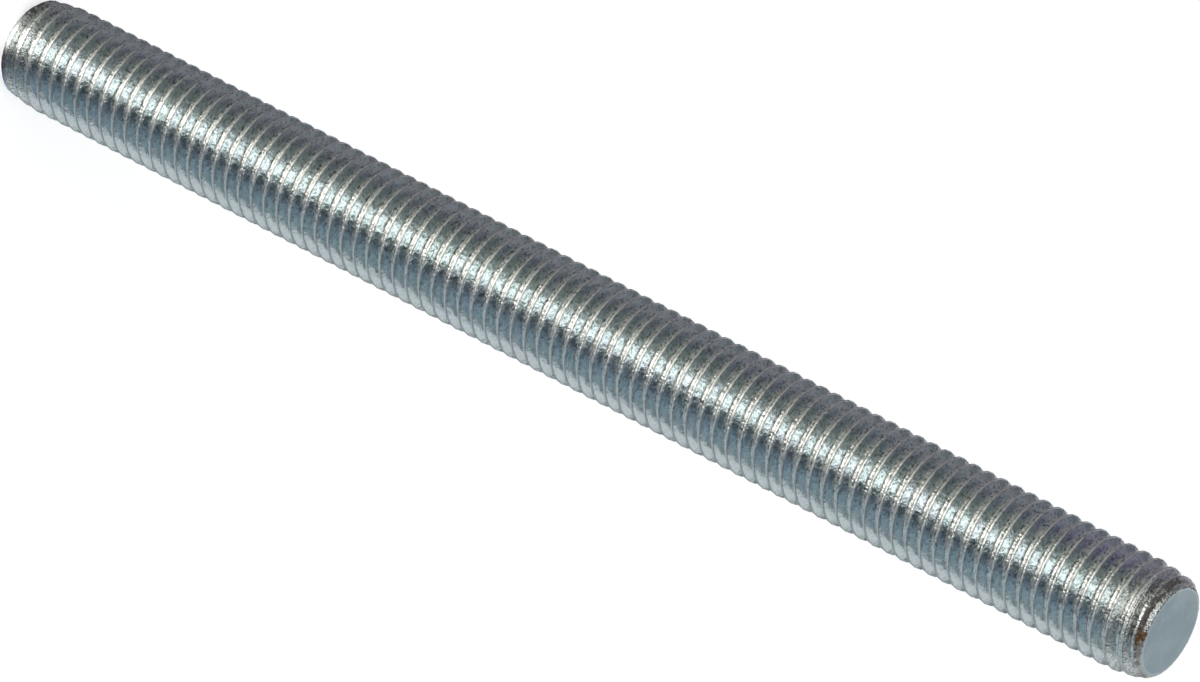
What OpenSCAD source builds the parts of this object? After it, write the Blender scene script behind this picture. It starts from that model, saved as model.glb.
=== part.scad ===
// Threaded rod: one steel bar with a right-hand metric thread from end to end.
// At each end the last crests run lower, and a small chamfer leads to the flat end face.
// The rod stands on its lower end. The origin is the centre of that face, and +Z runs up the axis.

/* [Rod] */
// Overall length, from end face to end face
rod_length = 150; // [40:1:300]

/* [Thread] */
// Major diameter, measured over the crests
major_d = 12; // [8:0.25:20]
// Pitch, from one crest to the next along the axis
pitch = 1.75; // [1.5:0.05:2.5]
// Angle between the two flanks of a groove
flank_angle = 60; // [55:1:65]
// Direction, seen from above, in which a crest crosses the lower end face
start_angle = 110; // [0:5:355]

/* [Ends] */
// How much lower the crests are at each end, measured on the radius
end_taper = 0.45; // [0.1:0.05:0.8]
// Length over which the crests rise to their full height
taper_length = 4; // [2:0.5:10]
// Chamfer between the lowered crests and the end face, measured on the radius
chamfer = 0.7; // [0.3:0.05:1.2]
// Slope of each chamfer, measured from the axis
chamfer_angle = 45; // [35:5:60]

/* [Hidden] */

// Straight steps in one turn of the thread
steps_per_turn = 16;

// The thread form is a sharp triangle of this height with its crest cut off and its root filled in
sharp_height = pitch / (2 * tan(flank_angle / 2));
crest_cut = sharp_height / 8;
root_fill = sharp_height / 6;
thread_depth = sharp_height - crest_cut - root_fill;
crest_flat = 2 * crest_cut * tan(flank_angle / 2);
flank_run = thread_depth * tan(flank_angle / 2);
crest_r = major_d / 2;
root_r = crest_r - thread_depth;

// One turn in section, from one root edge to the next, as radius and height
thread_form = [
    [root_r, 0],
    [crest_r, flank_run],
    [crest_r, flank_run + crest_flat],
    [root_r, flank_run + crest_flat + flank_run],
];
form_size = len(thread_form);
form_end = form_size - 1;

// The helix starts and stops beyond the end faces, so that the ends cut through whole turns
crest_middle = flank_run + crest_flat / 2;
helix_start = -pitch - crest_middle;
helix_overrun = 0.3 * pitch;
helix_steps = ceil((rod_length + helix_overrun - helix_start) / pitch * steps_per_turn);

// Solid that the ends are cut to: it touches the crests where the tapers end and is wider between them
lead_r = crest_r - end_taper;
end_face_r = lead_r - chamfer;
chamfer_length = chamfer / tan(chamfer_angle);
clear_gap = pitch;
blank_r = crest_r + clear_gap;

function turn_angle(step) = 360 * step / steps_per_turn;
function turn_height(step) = helix_start + pitch * step / steps_per_turn;
function form_point(step, corner) = [
    thread_form[corner][0] * cos(turn_angle(step)),
    thread_form[corner][0] * sin(turn_angle(step)),
    turn_height(step) + thread_form[corner][1],
];

// Place of a corner of the form in the list of points
function at(step, corner) = step * form_size + corner;

// A four-sided patch as two triangles
function patch(a, b, c, d) = [[a, b, c], [a, c, d]];

// The thread as one closed helical surface
module helical_thread() {
    last = helix_steps;
    lap = steps_per_turn;
    bottom = at(last, form_end) + 1;
    top = bottom + 1;
    points = [
        for (step = [0:last], corner = [0:form_end]) form_point(step, corner),
        [0, 0, turn_height(0) + pitch / 2],
        [0, 0, turn_height(last) + thread_form[form_end][1] - pitch / 2],
    ];
    ridge = [
        for (step = [0:last - 1], corner = [0:form_end - 1])
            each patch(at(step, corner), at(step, corner + 1), at(step + 1, corner + 1), at(step + 1, corner)),
    ];
    root = [
        for (step = [0:last - lap - 1])
            each patch(at(step, form_end), at(step + lap, 0), at(step + lap + 1, 0), at(step + 1, form_end)),
    ];
    bottom_ramp = [for (step = [0:lap - 1]) [bottom, at(step, 0), at(step + 1, 0)]];
    top_ramp = [for (step = [last - lap:last - 1]) [top, at(step + 1, form_end), at(step, form_end)]];
    bottom_step = concat([bottom, at(lap, 0)], [for (corner = [form_end:-1:0]) at(0, corner)]);
    top_step = concat([top, at(last - lap, form_end)], [for (corner = [0:form_end]) at(last, corner)]);
    polyhedron(points, concat(ridge, root, bottom_ramp, top_ramp, [bottom_step, top_step]));
}

// The blank that the thread is cut to, with a chamfer and a long taper at each end
module blank() {
    lower_half = [
        [0, 0],
        [end_face_r, 0],
        [lead_r, chamfer_length],
        [crest_r, taper_length],
        [blank_r, taper_length + clear_gap],
    ];
    upper_half = [for (i = [len(lower_half) - 1:-1:0]) [lower_half[i][0], rod_length - lower_half[i][1]]];
    rotate_extrude()
        polygon(concat(lower_half, upper_half));
}

module threaded_rod() {
    color([0.60, 0.67, 0.70])
        intersection() {
            rotate([0, 0, start_angle]) helical_thread();
            blank();
        }
}

threaded_rod();
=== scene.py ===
# %% [markdown]
# # A zinc-plated threaded rod
# The object is one bar of steel with a metric thread rolled along its whole length and a small
# chamfer at each end. It is plated with bright zinc, which has a cold blue tint on the flanks and is
# worn to a warmer grey on crests and roots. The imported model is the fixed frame: it gives the rod's
# place and size, and everything below is worked out from it, in metres.

# %% Load the frame
import math

import bpy
from mathutils import Matrix, Vector


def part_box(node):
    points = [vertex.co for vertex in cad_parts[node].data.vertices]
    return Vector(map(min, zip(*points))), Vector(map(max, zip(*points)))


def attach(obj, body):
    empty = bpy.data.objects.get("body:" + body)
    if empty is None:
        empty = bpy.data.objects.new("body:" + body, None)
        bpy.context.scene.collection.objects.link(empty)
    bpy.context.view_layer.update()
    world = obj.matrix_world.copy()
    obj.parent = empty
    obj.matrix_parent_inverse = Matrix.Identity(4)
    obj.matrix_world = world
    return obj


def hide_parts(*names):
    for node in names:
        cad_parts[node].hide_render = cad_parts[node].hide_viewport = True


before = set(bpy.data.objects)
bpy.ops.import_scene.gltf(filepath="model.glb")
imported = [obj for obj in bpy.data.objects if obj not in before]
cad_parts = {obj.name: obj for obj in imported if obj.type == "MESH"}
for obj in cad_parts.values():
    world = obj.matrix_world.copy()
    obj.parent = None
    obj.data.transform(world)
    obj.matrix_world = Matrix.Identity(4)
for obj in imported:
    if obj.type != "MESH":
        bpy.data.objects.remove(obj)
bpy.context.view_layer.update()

MM = 0.001
rod_low, rod_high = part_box("threaded_rod")
rod_length = rod_high.z - rod_low.z
crest_radius = (rod_high.x - rod_low.x) / 2
print(f"rod: {rod_length / MM:.2f} mm long, {2 * crest_radius / MM:.3f} mm over the crests")

# %% [markdown]
# ## Directions
# The rod stands on its lower end. Places round it are given as azimuths, so that stains, camera, card
# and lamps all speak of the same sides: 0 faces the camera, and 90 is the upper edge in the picture.

# %% Directions
front = Vector((0, -1, 0))
across = Vector((-1, 0, 0))
upright = Vector((0, 0, 1))


def heading(azimuth):
    a = math.radians(azimuth)
    return math.cos(a) * front + math.sin(a) * across


print("the picture's upper edge faces", tuple(round(v, 3) for v in heading(90)))

# %% [markdown]
# ## Node helpers
# The thread and its finish are both made of node trees with a good deal of arithmetic. Five small
# helpers keep that readable. One adds a node, one feeds a socket with a link or a plain value, one does
# a sum, one makes a smooth step from 0 to 1, and one makes noise of a given size.

# %% Node helpers
def add_node(tree, kind, **settings):
    node = tree.nodes.new(kind)
    for name, value in settings.items():
        setattr(node, name, value)
    return node


def feed(tree, socket, value):
    if isinstance(value, bpy.types.NodeSocket):
        tree.links.new(value, socket)
    else:
        socket.default_value = value


def calc(tree, operation, *values):
    node = add_node(tree, "ShaderNodeMath", operation=operation)
    for socket, value in zip(node.inputs, values):
        feed(tree, socket, value)
    return node.outputs[0]


def ease(tree, value, start, end):
    """0 at start and 1 at end, with a smooth change between them."""
    node = add_node(tree, "ShaderNodeMapRange", interpolation_type="SMOOTHSTEP")
    for socket, setting in zip(node.inputs, (value, start, end, 0.0, 1.0)):
        feed(tree, socket, setting)
    return node.outputs[0]


def cloud(tree, place, size, detail, seed, stretch=(1.0, 1.0, 1.0), fineness=0.5):
    """Noise from 0 to 1 with features of about this size. A stretch below 1 makes them longer that way."""
    scaled = add_node(tree, "ShaderNodeVectorMath", operation="MULTIPLY")
    feed(tree, scaled.inputs[0], place)
    scaled.inputs[1].default_value = [s / size for s in stretch]
    noise = add_node(tree, "ShaderNodeTexNoise", noise_dimensions="4D")
    feed(tree, noise.inputs["Vector"], scaled.outputs[0])
    noise.inputs["W"].default_value = seed
    noise.inputs["Scale"].default_value = 1.0
    noise.inputs["Detail"].default_value = detail
    noise.inputs["Roughness"].default_value = fineness
    return noise.outputs[0]


# %% [markdown]
# ## Shared finish: the grain of the plating
# Zinc grows on the steel as tiny crystals, so the surface glitters finely where a highlight ends. The
# rolling dies leave fine marks that run round the rod, and drawing leaves coarser lines along it. Dark
# specks are scattered over the skin, and the blue film changes its tint in wide patches. Each of the
# five is noise of its own size and stretch. The thread and the cut ends both use them, so they are one
# group with five outputs.

# %% Grain group
patterns = {
    "Grain": dict(size=0.50 * MM, detail=3.0, seed=1.0, fineness=0.62),
    "Rolling marks": dict(size=0.07 * MM, detail=1.0, seed=2.0, stretch=(0.09, 0.09, 1.0)),
    "Drawing lines": dict(size=0.20 * MM, detail=1.0, seed=4.0, stretch=(1.0, 1.0, 0.3)),
    "Patches": dict(size=3.2 * MM, detail=2.0, seed=3.0),
    "Specks": dict(size=0.16 * MM, detail=1.0, seed=9.0, stretch=(0.45, 0.45, 1.0)),
}

grain = bpy.data.node_groups.new("plating grain", "ShaderNodeTree")
for name in patterns:
    grain.interface.new_socket(name, in_out="OUTPUT", socket_type="NodeSocketFloat")
grain_place = add_node(grain, "ShaderNodeTexCoord").outputs["Object"]
grain_out = add_node(grain, "NodeGroupOutput").inputs
for name, pattern in patterns.items():
    feed(grain, grain_out[name], cloud(grain, grain_place, **pattern))
print("grain group:", [s.name for s in grain.interface.items_tree])

# %% [markdown]
# ## Shared finish: stain, wear and painted light
# Handling wears a rod at its ends first. The upper end has a rusty spot on its chamfer, and each end has
# a spot of grime at its rim. Behind the upper rim, on the side facing the camera, lies a dark ring that
# is painted shadow. At both ends a brown film lies on one side and the last turns are rubbed. A violet
# film runs along one side near the upper end. The side facing azimuth 40, where the highlight spreads,
# gets painted light: its crests and roots are paler, and it has more dark specks. All this could be
# painted on the mesh. Masks that are worked out from the place on the rod need no picture and follow the
# frame, so the group gives six of them.

# %% Stain and painted light group
stain_and_light = bpy.data.node_groups.new("rim stain and painted light", "ShaderNodeTree")
for name in ("Film", "Rust", "Grime and shadow", "Rubbed", "Violet", "Painted lit side"):
    stain_and_light.interface.new_socket(name, in_out="OUTPUT", socket_type="NodeSocketFloat")
masks_out = add_node(stain_and_light, "NodeGroupOutput").inputs
stain_place = add_node(stain_and_light, "ShaderNodeTexCoord").outputs["Object"]
stain_split = add_node(stain_and_light, "ShaderNodeSeparateXYZ")
feed(stain_and_light, stain_split.inputs[0], stain_place)
from_bottom = stain_split.outputs["Z"]
from_top = calc(stain_and_light, "SUBTRACT", rod_high.z, from_bottom)
from_face = calc(stain_and_light, "MINIMUM", from_bottom, from_top)
print("stain group:", [s.name for s in stain_and_light.interface.items_tree])

# %% [markdown]
# Three helpers shape the masks: one picks the side that faces some way, one makes a spot, and one
# breaks up a mask's edge with noise, because stains have ragged edges.

# %% Mask helpers
def stain_calc(operation, *values):
    return calc(stain_and_light, operation, *values)


def facing(azimuth, start, end):
    """0 to 1 as the rod's side turns to face this way. Start and end are cosines of the angle off it."""
    node = add_node(stain_and_light, "ShaderNodeVectorMath", operation="DOT_PRODUCT")
    feed(stain_and_light, node.inputs[0], stain_place)
    node.inputs[1].default_value = heading(azimuth) / crest_radius
    return ease(stain_and_light, node.outputs["Value"], start, end)


def spot(centre, reach, flatness):
    """1 at the centre of a spot and 0 beyond its reach. Height counts more, so it lies along the rim."""
    offset = add_node(stain_and_light, "ShaderNodeVectorMath", operation="SUBTRACT")
    feed(stain_and_light, offset.inputs[0], stain_place)
    offset.inputs[1].default_value = centre
    flattened = add_node(stain_and_light, "ShaderNodeVectorMath", operation="MULTIPLY")
    feed(stain_and_light, flattened.inputs[0], offset.outputs[0])
    flattened.inputs[1].default_value = (1.0, 1.0, flatness)
    distance = add_node(stain_and_light, "ShaderNodeVectorMath", operation="LENGTH")
    feed(stain_and_light, distance.inputs[0], flattened.outputs[0])
    return ease(stain_and_light, distance.outputs["Value"], reach, 0.0)


def ragged(mask, size, seed):
    """Breaks up the edge of a mask with noise of this size."""
    noise = stain_calc("SUBTRACT", cloud(stain_and_light, stain_place, size, 5.0, seed), 0.5)
    return ease(stain_and_light, stain_calc("MULTIPLY_ADD", noise, 2.4, mask), 0.4, 0.8)


# %% [markdown]
# The film fades within a millimetre or so of each end and leaves the flat face nearly clean. Rust
# gathers round one spot. Grime gathers round one spot at each end. The ring behind the upper rim, on
# the side facing the camera, is painted shadow where the last turn runs out, and shares the grime's mask.

# %% Film, rust, grime and painted shadow
film_strength = 0.6
film = stain_calc("MULTIPLY", ease(stain_and_light, from_face, 1.3 * MM, 0.35 * MM), film_strength)
film = stain_calc("MULTIPLY", film, ease(stain_and_light, from_face, 0.05 * MM, 0.25 * MM))
film = stain_calc("MULTIPLY", film, facing(azimuth=-65, start=0.1, end=0.75))
feed(stain_and_light, masks_out["Film"], ragged(film, size=0.9 * MM, seed=5.0))

rust_spot = 5.35 * MM * heading(-20) + (rod_high.z - 0.35 * MM) * upright
rust = spot(rust_spot, reach=2.2 * MM, flatness=2.0)
feed(stain_and_light, masks_out["Rust"], ragged(rust, size=0.5 * MM, seed=6.0))

# Painted shadow: this ring, on the side facing the camera, stands in for the shade where the last turn
# runs out.
shadow_ring_strength = 0.85
shadow_ring_start = ease(stain_and_light, from_top, 0.25 * MM, 0.5 * MM)
shadow_ring_end = ease(stain_and_light, from_top, 1.3 * MM, 0.95 * MM)
painted_shadow_ring = stain_calc("MULTIPLY", shadow_ring_start, shadow_ring_end)
painted_shadow_ring = stain_calc("MULTIPLY", painted_shadow_ring, facing(azimuth=20, start=0.45, end=0.75))
painted_shadow_ring = stain_calc("MULTIPLY", painted_shadow_ring, shadow_ring_strength)
upper_spot = 5.45 * MM * heading(42) + (rod_high.z - 0.85 * MM) * upright
lower_spot = 5.3 * MM * heading(50) + 0.5 * MM * upright
grime_and_shadow = stain_calc("MAXIMUM", spot(upper_spot, reach=5.2 * MM, flatness=5.0), painted_shadow_ring)
grime_and_shadow = stain_calc("MAXIMUM", grime_and_shadow, spot(lower_spot, reach=4.2 * MM, flatness=3.0))
feed(stain_and_light, masks_out["Grime and shadow"], ragged(grime_and_shadow, size=0.5 * MM, seed=8.0))
print("rust in mm:", tuple(round(v / MM, 2) for v in rust_spot))

# %% [markdown]
# The other three masks have soft edges: how rubbed the turns are near the ends, where the film is
# violet, and the side that gets painted light, facing azimuth 40, where the highlight spreads.

# %% Rubbed, violet and painted lit side
feed(stain_and_light, masks_out["Rubbed"], ease(stain_and_light, from_face, 7.0 * MM, 2.0 * MM))
violet = facing(azimuth=85, start=0.35, end=0.85)
feed(stain_and_light, masks_out["Violet"], stain_calc("MULTIPLY", ease(stain_and_light, from_top, 24 * MM, 5 * MM), violet))
# Painted light: this mask makes crests and roots paler on the side where the highlight spreads.
feed(stain_and_light, masks_out["Painted lit side"], facing(azimuth=40, start=-0.2, end=0.5))
print("stain group:", len(stain_and_light.nodes), "nodes")

# %% [markdown]
# ## Material: zinc on the thread
# Bright zinc is a metal, so nearly all of its look is what it mirrors. What the shader sets is mostly
# the tint. On the flanks the passivation film is whole: cold blue-grey with violet patches, small dull
# spots and the thicker violet film near the upper end.

# %% Film on the flanks
def group(tree, shared):
    return add_node(tree, "ShaderNodeGroup", node_tree=shared).outputs


def blend(tree, share, first, second):
    """Mixes two colours, given as sockets or as plain red, green and blue."""
    node = add_node(tree, "ShaderNodeMix", data_type="RGBA")
    feed(tree, node.inputs["Factor"], share)
    for socket, colour in ((node.inputs[6], first), (node.inputs[7], second)):
        feed(tree, socket, colour if isinstance(colour, bpy.types.NodeSocket) else (*colour, 1.0))
    return node.outputs[2]


flank_blue = (0.60, 0.66, 0.668)
flank_violet = (0.61, 0.645, 0.68)
flank_dull = (0.34, 0.37, 0.37)
dull_share = 0.22
thick_film = (0.58, 0.56, 0.76)
thick_film_share = 0.55

zinc = bpy.data.materials.new("zinc_on_thread")
zinc.use_nodes = True
tree = zinc.node_tree
shader = tree.nodes["Principled BSDF"]
marks = group(tree, grain)
dirt_and_light = group(tree, stain_and_light)
colour = blend(tree, ease(tree, marks["Patches"], 0.48, 0.66), flank_blue, flank_violet)
colour = blend(tree, calc(tree, "MULTIPLY", dirt_and_light["Violet"], thick_film_share), colour, thick_film)
dull_spots = calc(tree, "MULTIPLY", ease(tree, marks["Grain"], 0.58, 0.40), dull_share)
colour = blend(tree, dull_spots, colour, flank_dull)
print("flanks:", len(tree.nodes), "nodes so far")

# %% [markdown]
# Rolling and handling have thinned the film on crests and roots, so these are a warmer grey. The
# thread's own height, stored on the mesh as 0 at the root and 1 at the crest, tells one from the other.
# Most of that grey is painted light: it lies mainly on the side facing azimuth 40, where the highlight
# spreads, and there the grey of the roots also fades a little way up the flanks. Crests keep some of it
# all round.

# %% Bare crests and roots
worn_and_lit_crest = (0.80, 0.785, 0.75)
root_grey = (0.76, 0.76, 0.72)
root_fade_share = 0.7
least_crest_wear = 0.3
rubbed_share = 0.4

height = add_node(tree, "ShaderNodeAttribute", attribute_name="thread_height").outputs["Fac"]
at_root = ease(tree, height, 0.10, 0.04)
near_root_on_lit_side = calc(tree, "MULTIPLY", ease(tree, height, 0.34, 0.04), dirt_and_light["Painted lit side"])
at_crest = ease(tree, height, 0.90, 0.97)
# Painted light: the root grey and most of the crest grey go on the lit side.
colour = blend(tree, calc(tree, "MULTIPLY", near_root_on_lit_side, root_fade_share), colour, root_grey)
colour = blend(tree, calc(tree, "MULTIPLY", at_root, dirt_and_light["Painted lit side"]), colour, root_grey)
lit_crest_wear = calc(tree, "MULTIPLY_ADD", dirt_and_light["Painted lit side"], 1.0 - least_crest_wear, least_crest_wear)
colour = blend(tree, calc(tree, "MULTIPLY", at_crest, lit_crest_wear), colour, worn_and_lit_crest)
colour = blend(tree, calc(tree, "MULTIPLY", dirt_and_light["Rubbed"], rubbed_share), colour, worn_and_lit_crest)
print("crests and roots:", len(tree.nodes), "nodes so far")

# %% [markdown]
# Dark specks lie mostly on the side facing azimuth 40 and are larger near the roots there. In part
# they are painted shade that breaks up the edge of the highlight on that side. The rubbed turns have
# pits. Over that come the brown film, the grime with the painted shadow ring, and the rust, which is
# orange with dark parts. Grime and rust aren't metal, and the shadow ring is made the same way, so they
# take away most of the mirror.

# %% Specks, pits, dirt and painted shade
speck_dark = (0.20, 0.225, 0.215)
least_specks = 0.1
lit_side_specks = 0.65
root_specks = 0.25
root_speck_growth = 0.04
pit_dark = (0.15, 0.15, 0.14)
pit_share = 0.7
film_brown = (0.33, 0.285, 0.23)
film_share = 0.7
grime_and_shadow_dark = (0.07, 0.055, 0.04)
grime_and_shadow_share = 0.85
rust_orange = (0.34, 0.20, 0.09)
rust_dark = (0.085, 0.045, 0.022)
mirror_loss = 0.8

# Painted shade: the specks gather on the lit side, at the edge of the highlight.
speck_share = calc(tree, "MULTIPLY_ADD", dirt_and_light["Painted lit side"], lit_side_specks, least_specks)
speck_share = calc(tree, "MULTIPLY_ADD", near_root_on_lit_side, root_specks, speck_share)
speck_edge = calc(tree, "SUBTRACT", marks["Specks"], calc(tree, "MULTIPLY", near_root_on_lit_side, root_speck_growth))
specks = calc(tree, "MULTIPLY", ease(tree, speck_edge, 0.46, 0.34), speck_share)
colour = blend(tree, specks, colour, speck_dark)
pits = calc(tree, "MULTIPLY", ease(tree, marks["Drawing lines"], 0.44, 0.34), dirt_and_light["Rubbed"])
colour = blend(tree, calc(tree, "MULTIPLY", pits, pit_share), colour, pit_dark)
colour = blend(tree, calc(tree, "MULTIPLY", dirt_and_light["Film"], film_share), colour, film_brown)
# The grime colour here also paints the shadow ring behind the upper rim.
colour = blend(tree, calc(tree, "MULTIPLY", dirt_and_light["Grime and shadow"], grime_and_shadow_share), colour, grime_and_shadow_dark)
rust_colour = blend(tree, ease(tree, marks["Drawing lines"], 0.40, 0.56), rust_dark, rust_orange)
colour = blend(tree, dirt_and_light["Rust"], colour, rust_colour)
feed(tree, shader.inputs["Base Color"], colour)
crust_and_shadow = calc(tree, "MAXIMUM", dirt_and_light["Rust"], dirt_and_light["Grime and shadow"])
lost = calc(tree, "MULTIPLY", crust_and_shadow, mirror_loss)
feed(tree, shader.inputs["Metallic"], calc(tree, "SUBTRACT", 1.0, lost))
print("specks, pits and dirt:", len(tree.nodes), "nodes so far")

# %% [markdown]
# Crests, the roots on the side with painted light, dirt and the painted shadow ring are rougher than
# the flanks, and the grain varies the roughness everywhere. Each mask adds its own share to the roughness
# of a clean flank.

# %% Roughness of the thread
flank_roughness = 0.14
root_roughness = 0.31
crest_roughness = 0.36

rough = calc(tree, "MULTIPLY_ADD", near_root_on_lit_side, root_roughness - flank_roughness, flank_roughness)
for mask, added in (
    (at_crest, crest_roughness - flank_roughness),
    (calc(tree, "SUBTRACT", marks["Grain"], 0.5), 0.3),
    (dirt_and_light["Rubbed"], 0.04),
    (dirt_and_light["Film"], 0.18),
    (crust_and_shadow, 0.35),
):
    rough = calc(tree, "MULTIPLY_ADD", mask, added, rough)
feed(tree, shader.inputs["Roughness"], rough)
print(f"roughness: flanks {flank_roughness}, roots {root_roughness}, crests {crest_roughness}")

# %% [markdown]
# The same marks are also bumps, less than a tenth of a millimetre high. They break up the edge of a
# highlight, and modelled in the mesh they would take millions of faces. The drawing lines show only
# where the film is gone: on crests, on roots and on the rubbed turns.

# %% Bumps on the thread
def relief(tree, shader, *layers):
    """Bumps the shader with layers of (height from 0 to 1, depth in metres)."""
    normal = None
    for pattern, depth in layers:
        bump = add_node(tree, "ShaderNodeBump")
        bump.inputs["Distance"].default_value = depth
        feed(tree, bump.inputs["Height"], pattern)
        if normal is not None:
            feed(tree, bump.inputs["Normal"], normal)
        normal = bump.outputs["Normal"]
    feed(tree, shader.inputs["Normal"], normal)


grain_depth = 0.072 * MM
rolling_mark_depth = 0.006 * MM
drawing_line_depth = 0.08 * MM
rubbed_bare = 0.9

bare = calc(tree, "MULTIPLY", dirt_and_light["Rubbed"], rubbed_bare)
for mask in (at_root, at_crest, near_root_on_lit_side):
    bare = calc(tree, "MAXIMUM", bare, mask)
relief(
    tree,
    shader,
    (marks["Grain"], grain_depth),
    (marks["Rolling marks"], rolling_mark_depth),
    (calc(tree, "MULTIPLY", marks["Drawing lines"], bare), drawing_line_depth),
)
print("zinc on the thread:", len(tree.nodes), "nodes")

# %% [markdown]
# ## Material: zinc on the cut ends
# The ends were cut before plating, so they are flatter and duller than the thread: an even satin
# blue-grey with faint curved marks of the cut, and a pale rim that is a painted highlight. The marks are
# a ring pattern whose centre lies outside the rod, as a saw's does, and the wide patches make the rings
# wobble.

# %% Saw marks on the cut ends
end_blue = (0.40, 0.47, 0.50)
end_pale = (0.49, 0.55, 0.57)
saw_centre = Vector((-9.0 * MM, 6.0 * MM, 0.0))
saw_mark_spacing = 0.45 * MM
saw_wobble = 2.5 * MM
saw_mark_share = 0.08

ends = bpy.data.materials.new("zinc_on_ends")
ends.use_nodes = True
tree = ends.node_tree
shader = tree.nodes["Principled BSDF"]
shader.inputs["Metallic"].default_value = 1.0
marks = group(tree, grain)
dirt_and_light = group(tree, stain_and_light)
place = add_node(tree, "ShaderNodeTexCoord").outputs["Object"]
flat_place = add_node(tree, "ShaderNodeVectorMath", operation="MULTIPLY")
feed(tree, flat_place.inputs[0], place)
flat_place.inputs[1].default_value = (1.0, 1.0, 0.0)
from_saw = add_node(tree, "ShaderNodeVectorMath", operation="DISTANCE")
feed(tree, from_saw.inputs[0], flat_place.outputs[0])
from_saw.inputs[1].default_value = saw_centre
wobbly = calc(tree, "MULTIPLY_ADD", marks["Patches"], saw_wobble, from_saw.outputs["Value"])
saw_wave = calc(tree, "SINE", calc(tree, "MULTIPLY", wobbly, math.tau / saw_mark_spacing))
saw_marks = calc(tree, "MULTIPLY_ADD", saw_wave, 0.5, 0.5)
uneven = calc(tree, "MULTIPLY_ADD", saw_marks, saw_mark_share, marks["Patches"])
colour = blend(tree, ease(tree, uneven, 0.4, 0.75), end_blue, end_pale)
print("saw marks:", len(tree.nodes), "nodes so far")

# %% [markdown]
# The rim is where the face begins to turn into the chamfer. Its pale colour is a painted highlight of
# that bend, and the grain makes its inner edge uneven.

# %% Painted rim highlight and finish of the cut ends
end_rim_highlight = (0.84, 0.89, 0.94)
rim_highlight_share = 0.8
rim_unevenness = 0.5 * MM
end_film_share = 0.25
end_roughness = 0.36
roughness_change = 0.25
saw_mark_depth = 0.0012 * MM
end_grain_depth = 0.02 * MM

from_axis = add_node(tree, "ShaderNodeVectorMath", operation="LENGTH")
feed(tree, from_axis.inputs[0], flat_place.outputs[0])
uneven_rim = calc(tree, "MULTIPLY_ADD", marks["Grain"], rim_unevenness, from_axis.outputs["Value"])
at_rim = ease(tree, uneven_rim, 4.7 * MM, 5.0 * MM)
# Painted highlight: the pale rim of the face.
colour = blend(tree, calc(tree, "MULTIPLY", at_rim, rim_highlight_share), colour, end_rim_highlight)
colour = blend(tree, calc(tree, "MULTIPLY", dirt_and_light["Film"], end_film_share), colour, film_brown)
feed(tree, shader.inputs["Base Color"], colour)
grainy = calc(tree, "SUBTRACT", marks["Grain"], 0.5)
feed(tree, shader.inputs["Roughness"], calc(tree, "MULTIPLY_ADD", grainy, roughness_change, end_roughness))
relief(tree, shader, (saw_marks, saw_mark_depth), (marks["Grain"], end_grain_depth))
print("zinc on the ends:", len(tree.nodes), "nodes")

# %% [markdown]
# ## The thread as a Geometry Nodes tree
# A thread follows one rule: at each height and direction the radius depends on how far round the helix
# that place lies. A screw modifier could sweep a profile, but then the ends would have to be cut and
# patched. Here a plain cylinder with many rings is pushed in and out by that rule, so the surface stays
# one closed skin with no seam, and the ends come out of the same sum. One turn has as many rings as the
# cylinder has sides, so the grid itself follows the helix. The grid is turned a little, so that a row
# of its corners lies on the crest. That takes the corners off the axes, so the radius grows by as much
# as keeps the rod's box the same.

# %% Tree and its inputs
pitch = 1.75 * MM
start_angle = math.radians(110)
flank_slope = math.radians(30)
sharp_height = pitch / (2 * math.tan(flank_slope))
sides = 32
side_angle = math.tau / sides
blank_turn = start_angle - round(start_angle / side_angle) * side_angle

rod_tree = bpy.data.node_groups.new("threaded rod", "GeometryNodeTree")
rod_settings = {}


def rod_input(name, kind, value):
    socket = rod_tree.interface.new_socket(name, in_out="INPUT", socket_type=kind)
    rod_settings[socket.identifier] = value


for name, value in {
    "Length": rod_length,
    "Crest radius": crest_radius / math.cos(blank_turn),
    "Pitch": pitch,
    "Start angle": start_angle,
    "Blank turn": blank_turn,
    "Thread depth": sharp_height * 2 / 3,
    "Crest half width": pitch / 16,
    "Crest rounding": 0.04 * pitch,
    "Root rounding": 0.04 * pitch,
    "End face radius": 4.85 * MM,
    "Lead radius": 5.55 * MM,
    "Chamfer length": 0.7 * MM,
    "Taper length": 4.0 * MM,
    "Rim rounding": 0.35 * MM,
    "Wear depth": 0.10 * MM,
    "Wear seed": 7.0,
}.items():
    rod_input(name, "NodeSocketFloat", value)
for name, value in {"Sides": sides, "Rings": round(rod_length / pitch * sides), "Face rings": 12}.items():
    rod_input(name, "NodeSocketInt", value)
rod_input("Thread finish", "NodeSocketMaterial", zinc)
rod_input("End finish", "NodeSocketMaterial", ends)
rod_tree.interface.new_socket("Geometry", in_out="OUTPUT", socket_type="NodeSocketGeometry")
given = add_node(rod_tree, "NodeGroupInput").outputs
print("rod tree inputs:", len(rod_settings))

# %% [markdown]
# The blank is Blender's own cylinder primitive. It is made round its own middle, so half its length is
# added to measure the place along the rod from the lower end. From that place and the direction follows
# how far each point lies from the nearest crest, measured along the rod.

# %% Blank and helix
def rod_calc(operation, *values):
    return calc(rod_tree, operation, *values)


blank = add_node(rod_tree, "GeometryNodeMeshCylinder", fill_type="TRIANGLE_FAN")
for socket, name in (
    ("Vertices", "Sides"),
    ("Side Segments", "Rings"),
    ("Fill Segments", "Face rings"),
    ("Radius", "Crest radius"),
    ("Depth", "Length"),
):
    feed(rod_tree, blank.inputs[socket], given[name])

lined_up = add_node(rod_tree, "GeometryNodeTransform")
feed(rod_tree, lined_up.inputs["Geometry"], blank.outputs["Mesh"])
turned = add_node(rod_tree, "ShaderNodeCombineXYZ")
feed(rod_tree, turned.inputs["Z"], given["Blank turn"])
feed(rod_tree, lined_up.inputs["Rotation"], turned.outputs[0])

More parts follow.
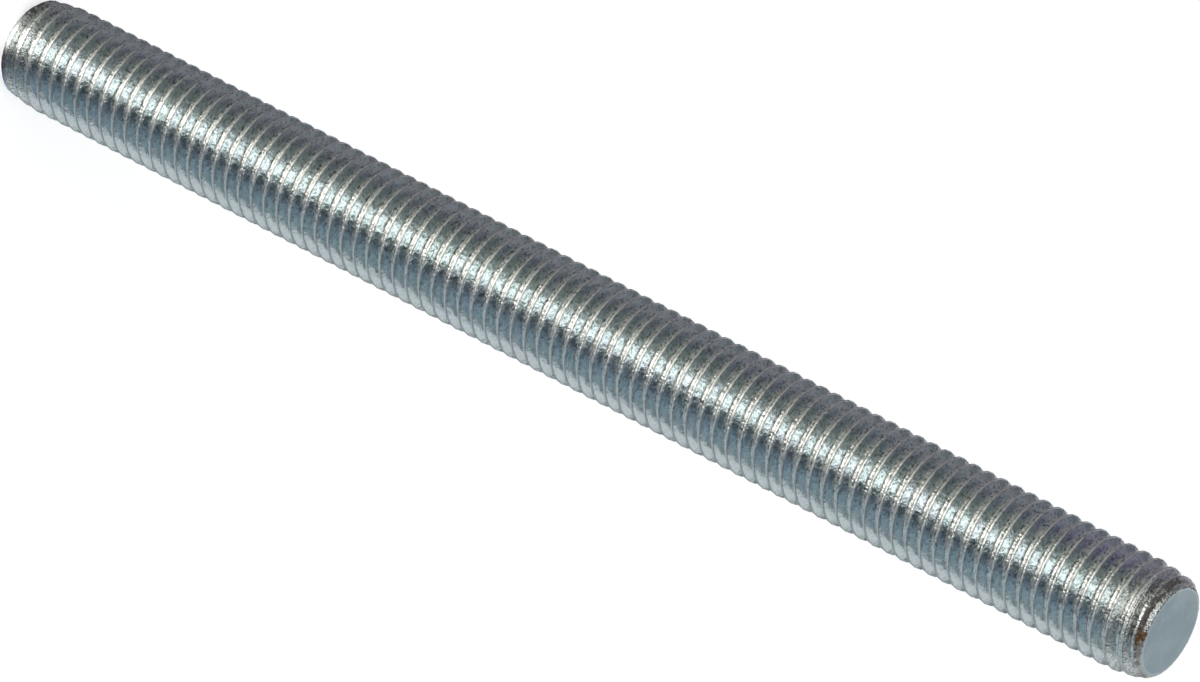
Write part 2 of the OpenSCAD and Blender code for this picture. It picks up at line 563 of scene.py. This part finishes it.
position = add_node(rod_tree, "GeometryNodeInputPosition").outputs[0]
split = add_node(rod_tree, "ShaderNodeSeparateXYZ")
feed(rod_tree, split.inputs[0], position)
x = split.outputs["X"]
y = split.outputs["Y"]
along = rod_calc("ADD", split.outputs["Z"], rod_calc("MULTIPLY", given["Length"], 0.5))
direction = rod_calc("SUBTRACT", rod_calc("ARCTAN2", y, x), given["Start angle"])
round_helix = rod_calc("DIVIDE", direction, math.tau)
turns = rod_calc("SUBTRACT", rod_calc("DIVIDE", along, given["Pitch"]), round_helix)
off_crest = rod_calc("MULTIPLY", rod_calc("ABSOLUTE", rod_calc("WRAP", turns, 0.5, -0.5)), given["Pitch"])
print(f"blank turned by {math.degrees(blank_turn):.2f} degrees")

# %% [markdown]
# The thread form is a flat crest, two straight flanks and a flat root. A smooth minimum joins crest and
# flank and a smooth maximum joins flank and root, which gives the soft edges that rolling leaves. The
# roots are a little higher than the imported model's, so that each turn shows one pale line.

# %% Thread form
flank = rod_calc("SUBTRACT", given["Crest half width"], off_crest)
flank = rod_calc("DIVIDE", flank, math.tan(flank_slope))
form = rod_calc("SMOOTH_MIN", flank, 0.0, given["Crest rounding"])
root = rod_calc("MULTIPLY", given["Thread depth"], -1.0)
form = rod_calc("SMOOTH_MAX", form, root, given["Root rounding"])
thread_height = rod_calc("ADD", rod_calc("DIVIDE", form, given["Thread depth"]), 1.0)
thread_radius = rod_calc("ADD", given["Crest radius"], form)
print(f"thread depth: {sharp_height * 2 / 3 / MM:.3f} mm")

# %% [markdown]
# At each end the crests run lower over a few millimetres, and a chamfer of 45 degrees with a rounded
# rim leads to the flat face. The same smooth minimum lets this outline cut through the last turns.

# %% Ends
chamfer_slope = math.radians(45)
lead_rounding = 0.2 * MM
turn_rounding = 0.12 * MM

from_end = rod_calc("MINIMUM", along, rod_calc("SUBTRACT", given["Length"], along))
from_end = rod_calc("MAXIMUM", from_end, 0.0)
rim = given["Rim rounding"]
arc_length = rod_calc("MULTIPLY", rim, 1 - math.cos(chamfer_slope))
on_arc = rod_calc("MINIMUM", from_end, arc_length)
past_middle = rod_calc("SUBTRACT", rod_calc("MULTIPLY", rim, 2.0), on_arc)
arc = rod_calc("SQRT", rod_calc("MULTIPLY", on_arc, past_middle))
arc_start = rod_calc("MULTIPLY", rim, math.tan(chamfer_slope / 2))
flat_radius = rod_calc("SUBTRACT", given["End face radius"], arc_start)
past_arc = rod_calc("MAXIMUM", rod_calc("SUBTRACT", from_end, arc_length), 0.0)
chamfer = rod_calc("ADD", rod_calc("ADD", flat_radius, arc), past_arc)
taper_height = rod_calc("SUBTRACT", given["Crest radius"], given["Lead radius"])
taper_run = rod_calc("SUBTRACT", given["Taper length"], given["Chamfer length"])
up_taper = rod_calc("SUBTRACT", from_end, given["Chamfer length"])
taper = rod_calc("MULTIPLY", up_taper, rod_calc("DIVIDE", taper_height, taper_run))
taper = rod_calc("ADD", given["Lead radius"], taper)
outline = rod_calc("SMOOTH_MIN", chamfer, taper, lead_rounding)
radius = rod_calc("SMOOTH_MIN", thread_radius, outline, turn_rounding)
print("ends:", len(rod_tree.nodes), "nodes so far")

# %% [markdown]
# Handling has knocked the last turns about, so a little noise is taken off near each end. The flat face
# itself stays out of it.

# %% Worn ends
dent_size = 1.3 * MM
full_wear = 0.5 * MM
rim_wear = 0.3 * MM

worn = add_node(rod_tree, "ShaderNodeTexNoise", noise_dimensions="4D")
feed(rod_tree, worn.inputs["Vector"], position)
feed(rod_tree, worn.inputs["W"], given["Wear seed"])
worn.inputs["Scale"].default_value = 1 / dent_size
near_end = rod_calc(
    "MULTIPLY",
    ease(rod_tree, from_end, given["Taper length"], full_wear),
    ease(rod_tree, from_end, 0.0, rim_wear),
)
wear = rod_calc("MULTIPLY", rod_calc("MULTIPLY", worn.outputs[0], near_end), given["Wear depth"])
radius = rod_calc("SUBTRACT", radius, wear)
print("worn ends:", len(rod_tree.nodes), "nodes so far")

# %% [markdown]
# Every point of the side moves out or in to its radius. The points of the flat faces move with it, and
# their rings are crowded towards the rim, so that its rounding shades well.

# %% Place of every point
reach = rod_calc("SQRT", rod_calc("ADD", rod_calc("MULTIPLY", x, x), rod_calc("MULTIPLY", y, y)))
inward = rod_calc("SUBTRACT", 1.0, rod_calc("DIVIDE", reach, given["Crest radius"]))
crowded = rod_calc("SUBTRACT", 1.0, rod_calc("MULTIPLY", inward, inward))
scale = rod_calc("DIVIDE", rod_calc("MULTIPLY", radius, crowded), reach)
placed = add_node(rod_tree, "ShaderNodeCombineXYZ")
feed(rod_tree, placed.inputs["X"], rod_calc("MULTIPLY", x, scale))
feed(rod_tree, placed.inputs["Y"], rod_calc("MULTIPLY", y, scale))
feed(rod_tree, placed.inputs["Z"], along)
print("places:", len(rod_tree.nodes), "nodes so far")

# %% [markdown]
# A map lays the skin out flat, so that its finish can be baked. The cylinder's own map has the side in
# its upper half and the two ends in its lower half. Here the side is cut into three strips that stand
# side by side, which suits its length, and the ends lie in a row below them.

# %% Map of the side
strips = 3
strip_margin = 0.01
end_row = 0.12
inside = 1.0 - 2.0 * strip_margin

map_split = add_node(rod_tree, "ShaderNodeSeparateXYZ")
feed(rod_tree, map_split.inputs[0], blank.outputs["UV Map"])
map_u = map_split.outputs["X"]
map_v = map_split.outputs["Y"]
of_face = add_node(rod_tree, "GeometryNodeFieldOnDomain", domain="FACE", data_type="FLOAT")
feed(rod_tree, of_face.inputs[0], map_v)
on_side = rod_calc("MULTIPLY_ADD", map_v, 2.0 * strips, -1.0 * strips)
strip = rod_calc("FLOOR", rod_calc("MULTIPLY_ADD", of_face.outputs[0], 2.0 * strips, -1.0 * strips))
up_strip = rod_calc("SUBTRACT", on_side, strip)
side_u = rod_calc("MULTIPLY_ADD", map_u, inside, strip_margin)
side_u = rod_calc("DIVIDE", rod_calc("ADD", side_u, strip), strips)
side_v = rod_calc("MULTIPLY_ADD", up_strip, inside - end_row, end_row + strip_margin)
print("map of the side:", strips, "strips")

# %% [markdown]
# The ends only shrink into the corner below the strips. A switch then picks one map or the other for
# each face, by the primitive's own record of which faces are its top and bottom.

# %% Map of the ends
end_u = rod_calc("MULTIPLY", map_u, 2.0 * end_row)
end_v = rod_calc("MULTIPLY", map_v, 2.0 * end_row)
either_end = add_node(rod_tree, "FunctionNodeBooleanMath", operation="OR")
feed(rod_tree, either_end.inputs[0], blank.outputs["Top"])
feed(rod_tree, either_end.inputs[1], blank.outputs["Bottom"])
bake_map = add_node(rod_tree, "ShaderNodeCombineXYZ")
for socket, for_side, for_end in zip(bake_map.inputs, (side_u, side_v), (end_u, end_v)):
    pick = add_node(rod_tree, "GeometryNodeSwitch", input_type="FLOAT")
    feed(rod_tree, pick.inputs["Switch"], either_end.outputs[0])
    feed(rod_tree, pick.inputs["False"], for_side)
    feed(rod_tree, pick.inputs["True"], for_end)
    feed(rod_tree, socket, pick.outputs[0])
print(f"map of the ends: {2 * end_row:.2f} wide and {end_row:.2f} high")

# %% [markdown]
# Two things are stored on the mesh before it is pushed into shape: the height in the thread, which the
# finish reads, and the map. Then the points move, the quads become triangles along their short
# diagonal, which runs with the helix, and the two finishes are set.

# %% Finished skin
def store(geometry, name, kind, domain, value):
    node = add_node(rod_tree, "GeometryNodeStoreNamedAttribute", data_type=kind, domain=domain)
    feed(rod_tree, node.inputs["Geometry"], geometry)
    node.inputs["Name"].default_value = name
    feed(rod_tree, node.inputs["Value"], value)
    return node.outputs[0]


skin = store(lined_up.outputs[0], "thread_height", "FLOAT", "POINT", thread_height)
skin = store(skin, "OFBake", "FLOAT2", "CORNER", bake_map.outputs[0])
moved = add_node(rod_tree, "GeometryNodeSetPosition")
feed(rod_tree, moved.inputs["Geometry"], skin)
feed(rod_tree, moved.inputs["Position"], placed.outputs[0])
cut = add_node(rod_tree, "GeometryNodeTriangulate", quad_method="SHORTEST_DIAGONAL")
feed(rod_tree, cut.inputs[0], moved.outputs[0])
smooth = add_node(rod_tree, "GeometryNodeSetShadeSmooth")
feed(rod_tree, smooth.inputs[0], cut.outputs[0])
whole = add_node(rod_tree, "GeometryNodeRealizeInstances")
feed(rod_tree, whole.inputs[0], smooth.outputs[0])
finish_all = add_node(rod_tree, "GeometryNodeSetMaterial")
feed(rod_tree, finish_all.inputs["Geometry"], whole.outputs[0])
feed(rod_tree, finish_all.inputs["Material"], given["Thread finish"])
finish_ends = add_node(rod_tree, "GeometryNodeSetMaterial")
feed(rod_tree, finish_ends.inputs["Geometry"], finish_all.outputs[0])
feed(rod_tree, finish_ends.inputs["Selection"], either_end.outputs[0])
feed(rod_tree, finish_ends.inputs["Material"], given["End finish"])
feed(rod_tree, add_node(rod_tree, "NodeGroupOutput").inputs[0], finish_ends.outputs[0])
print("rod tree:", len(rod_tree.nodes), "nodes")

# %% [markdown]
# The tree runs as a modifier on an empty mesh. Its result is then made a plain mesh, so that the rod is
# an ordinary piece at the origin, and the modifier goes.

# %% Make the rod
rod = bpy.data.objects.new("rod", bpy.data.meshes.new("rod"))
bpy.context.scene.collection.objects.link(rod)
modifier = rod.modifiers.new("thread", "NODES")
modifier.node_group = rod_tree
for identifier, value in rod_settings.items():
    modifier[identifier] = value
depsgraph = bpy.context.evaluated_depsgraph_get()
made = bpy.data.meshes.new_from_object(
    rod.evaluated_get(depsgraph), preserve_all_data_layers=True, depsgraph=depsgraph
)
rod.modifiers.clear()
rod.data = made
made.materials.pop(index=0)  # the primitive's own empty slot
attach(rod, "root")
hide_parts("threaded_rod")
on_ends = sum(face.material_index for face in made.polygons)
print("maps:", [layer.name for layer in made.uv_layers])
print("rod:", len(made.polygons), "triangles,", [m.name for m in made.materials], on_ends, "on the ends")

# %% [markdown]
# ## Camera
# The photograph was taken with a long lens, from nearly 30 degrees above square to the rod's side, so
# that the upper end's face shows. The frame is turned, so that the rod lies from corner to corner. The
# camera could be placed by hand. Here it is set by those two angles, by its distance and by where the
# rod's middle falls, because each of these can be measured in the picture by itself.

# %% Camera
view_rise = math.radians(28.9)
frame_turn = math.radians(27.25)
view_distance = 888 * MM
middle_right = -2.29 * MM
middle_up = 1.48 * MM

along_view = math.cos(view_rise) * upright - math.sin(view_rise) * front
to_camera = math.sin(view_rise) * upright + math.cos(view_rise) * front
camera_right = math.cos(frame_turn) * along_view + math.sin(frame_turn) * across
camera_up = -math.sin(frame_turn) * along_view + math.cos(frame_turn) * across
rod_middle = (rod_low + rod_high) / 2

camera_data = bpy.data.cameras.new("camera")
camera_data.sensor_width = 36
camera_data.lens = 260
camera_data.clip_end = 50
camera = bpy.data.objects.new("camera", camera_data)
axes = Matrix((camera_right, camera_up, to_camera)).transposed().to_4x4()
camera_place = rod_middle + to_camera * view_distance - camera_right * middle_right - camera_up * middle_up
camera.matrix_world = Matrix.Translation(camera_place) @ axes
bpy.context.scene.collection.objects.link(camera)
bpy.context.scene.camera = camera
bpy.context.scene.view_settings.view_transform = "Standard"
print("camera in m:", tuple(round(v, 3) for v in camera_place))

# %% [markdown]
# ## Floor
# The floor is plain white. Part of its white is its own lit colour, which keeps the rod's shadow, and
# the rest is a glow that only the camera and mirror-like or clear surfaces see.

# %% Floor
floor_half = 6.0
floor_gap = 0.02 * MM
floor_white = (0.9, 0.9, 0.9, 1.0)
floor_glow = 0.68

floor_mesh = bpy.data.meshes.new("floor")
floor_sides = ((-1, -1), (1, -1), (1, 1), (-1, 1))
floor_corners = [(sx * floor_half, sy * floor_half, rod_low.z - floor_gap) for sx, sy in floor_sides]
floor_mesh.from_pydata(floor_corners, [], [(0, 1, 2, 3)])
floor = bpy.data.objects.new("floor", floor_mesh)
bpy.context.scene.collection.objects.link(floor)

paper = bpy.data.materials.new("white_floor")
paper.use_nodes = True
tree = paper.node_tree
tree.nodes.remove(tree.nodes["Principled BSDF"])
matte = add_node(tree, "ShaderNodeBsdfDiffuse")
matte.inputs["Color"].default_value = floor_white
glow = add_node(tree, "ShaderNodeEmission")
rays = add_node(tree, "ShaderNodeLightPath").outputs
seen = calc(tree, "MAXIMUM", rays["Is Camera Ray"], rays["Is Glossy Ray"])
seen = calc(tree, "MAXIMUM", seen, rays["Is Transmission Ray"])
feed(tree, glow.inputs["Strength"], calc(tree, "MULTIPLY", seen, floor_glow))
both = add_node(tree, "ShaderNodeAddShader")
feed(tree, both.inputs[0], matte.outputs[0])
feed(tree, both.inputs[1], glow.outputs[0])
feed(tree, tree.nodes["Material Output"].inputs["Surface"], both.outputs[0])
floor_mesh.materials.append(paper)
print("floor:", 2 * floor_half, "m wide")

# %% [markdown]
# ## Graded card
# Between two turns a ray bounces twice, off the lower flank and then off the upper one, so crests,
# roots and flanks all mirror the floor round the rod and hardly anything above it. On bare white paper
# the rod would look white all over. As on a photographer's table, a graded sheet lies round the rod. A
# glowing strip in front draws the bright line down the rod's middle, greys and blue-greys at both sides
# give it its roundness, and a weaker strip at the back does for that side what the front one does here.

# %% Tones of the card
card_tones = {
    -180: (1.6, 1.6, 1.55),
    -171: (1.5, 1.5, 1.45),
    -162: (0.29, 0.31, 0.33),
    -145: (0.35, 0.39, 0.42),
    -120: (0.51, 0.61, 0.66),
    -95: (0.55, 0.73, 0.81),
    -75: (0.45, 0.60, 0.72),
    -55: (0.20, 0.255, 0.325),
    -40: (0.085, 0.105, 0.125),
    -26: (0.12, 0.135, 0.145),
    -18: (0.34, 0.35, 0.35),
    -7.5: (3.7, 3.7, 3.6),
    9: (3.7, 3.7, 3.6),
    18: (1.12, 1.13, 1.06),
    25: (0.68, 0.705, 0.64),
    35: (0.45, 0.475, 0.44),
    50: (0.325, 0.35, 0.325),
    70: (0.24, 0.25, 0.26),
    90: (0.195, 0.185, 0.235),
    110: (0.19, 0.165, 0.245),
    135: (0.25, 0.225, 0.31),
    150: (0.50, 0.46, 0.55),
    162: (0.55, 0.51, 0.60),
    171: (1.5, 1.5, 1.45),
    180: (1.6, 1.6, 1.55),
}
print("graded card:", len(card_tones), "tones by azimuth")

# %% [markdown]
# The sheet is a fan of faces between three rings and is darker close to the rod. The mesh carries the
# tones as a colour attribute, so that one runs into the next. Only mirror-like surfaces see the sheet.

# %% Graded card
card_rings = ((5.0 * MM, 0.4), (7.0 * MM, 1.0), (1.2, 1.0))
card_lift = 0.1 * MM

card_corners, card_colours = [], []
for azimuth, colour in card_tones.items():
    for ring_radius, level in card_rings:
        card_corners.append(heading(azimuth) * ring_radius + upright * card_lift)
        card_colours.append([level * value for value in colour] + [1.0])
across_card = len(card_rings)
card_faces = []
for i in range(0, len(card_corners) - across_card, across_card):
    for j in range(i, i + across_card - 1):
        card_faces.append((j, j + 1, j + 1 + across_card, j + across_card))
card_mesh = bpy.data.meshes.new("graded_card")
card_mesh.from_pydata(card_corners, [], card_faces)
tone = card_mesh.color_attributes.new("tone", "FLOAT_COLOR", "POINT")
for point, colour in zip(tone.data, card_colours):
    point.color = colour
card = bpy.data.objects.new("graded_card", card_mesh)
bpy.context.scene.collection.objects.link(card)
card.visible_camera = card.visible_diffuse = card.visible_shadow = False

graded = bpy.data.materials.new("graded_card")
graded.use_nodes = True
tree = graded.node_tree
tree.nodes.remove(tree.nodes["Principled BSDF"])
glow = add_node(tree, "ShaderNodeEmission")
card_tone = add_node(tree, "ShaderNodeAttribute", attribute_name="tone")
feed(tree, glow.inputs["Color"], card_tone.outputs["Color"])
feed(tree, tree.nodes["Material Output"].inputs["Surface"], glow.outputs[0])
card_mesh.materials.append(graded)
print("graded card:", len(card_faces), "faces")

# %% [markdown]
# ## Light
# A wide warm box beside the camera and a brighter strip above it light the crests. Behind the rod a
# pale box stands on the side of its lower edge in the picture and a weak violet one on the side of its
# upper edge. One at the back is what the end face mirrors, one overhead keeps the shadow soft, and one
# at the side lights the upper rim. The rest of the room is dark grey.

# %% Lamps
def softbox(name, azimuth, elevation, distance, width, height, radiance, colour):
    """A lamp aimed at the rod's middle."""
    e = math.radians(elevation)
    out = math.cos(e) * heading(azimuth) + math.sin(e) * upright
    sideways = heading(azimuth + 90)
    lamp_data = bpy.data.lights.new(name, "AREA")
    lamp_data.shape = "RECTANGLE"
    lamp_data.size = width
    lamp_data.size_y = height
    lamp_data.energy = radiance * width * height * math.pi
    lamp_data.color = colour
    lamp = bpy.data.objects.new(name, lamp_data)
    turn = Matrix((sideways, out.cross(sideways), out)).transposed().to_4x4()
    lamp.matrix_world = Matrix.Translation(rod_middle + out * distance) @ turn
    lamp.visible_camera = False
    bpy.context.scene.collection.objects.link(lamp)


softbox(
    "key_front", azimuth=20, elevation=40, distance=1.1, width=0.8, height=0.7,
    radiance=0.35, colour=(1.0, 0.985, 0.93),
)
softbox(
    "strip_above", azimuth=10, elevation=64, distance=1.1, width=0.3, height=0.7,
    radiance=1.6, colour=(0.98, 1.0, 0.98),
)
softbox(
    "pale_side", azimuth=-135, elevation=34, distance=1.2, width=0.8, height=0.8,
    radiance=0.66, colour=(0.95, 0.99, 1.0),
)
softbox(
    "back_fill", azimuth=178, elevation=28, distance=1.2, width=0.6, height=0.7,
    radiance=0.55, colour=(0.86, 0.97, 1.0),
)
softbox(
    "top_soft", azimuth=0, elevation=86, distance=1.2, width=0.5, height=0.5,
    radiance=0.8, colour=(1.0, 0.99, 0.96),
)
softbox(
    "rim_side", azimuth=62, elevation=52, distance=1.2, width=0.5, height=0.4,
    radiance=0.9, colour=(1.0, 0.97, 0.90),
)
softbox(
    "violet_side", azimuth=135, elevation=34, distance=1.2, width=0.6, height=0.7,
    radiance=0.12, colour=(0.90, 0.86, 1.0),
)

room_grey = (0.17, 0.18, 0.19, 1.0)
room = bpy.data.worlds.new("room")
room.use_nodes = True
room.node_tree.nodes["Background"].inputs["Color"].default_value = room_grey
bpy.context.scene.world = room
print("lamps:", [lamp.name for lamp in bpy.data.lights])
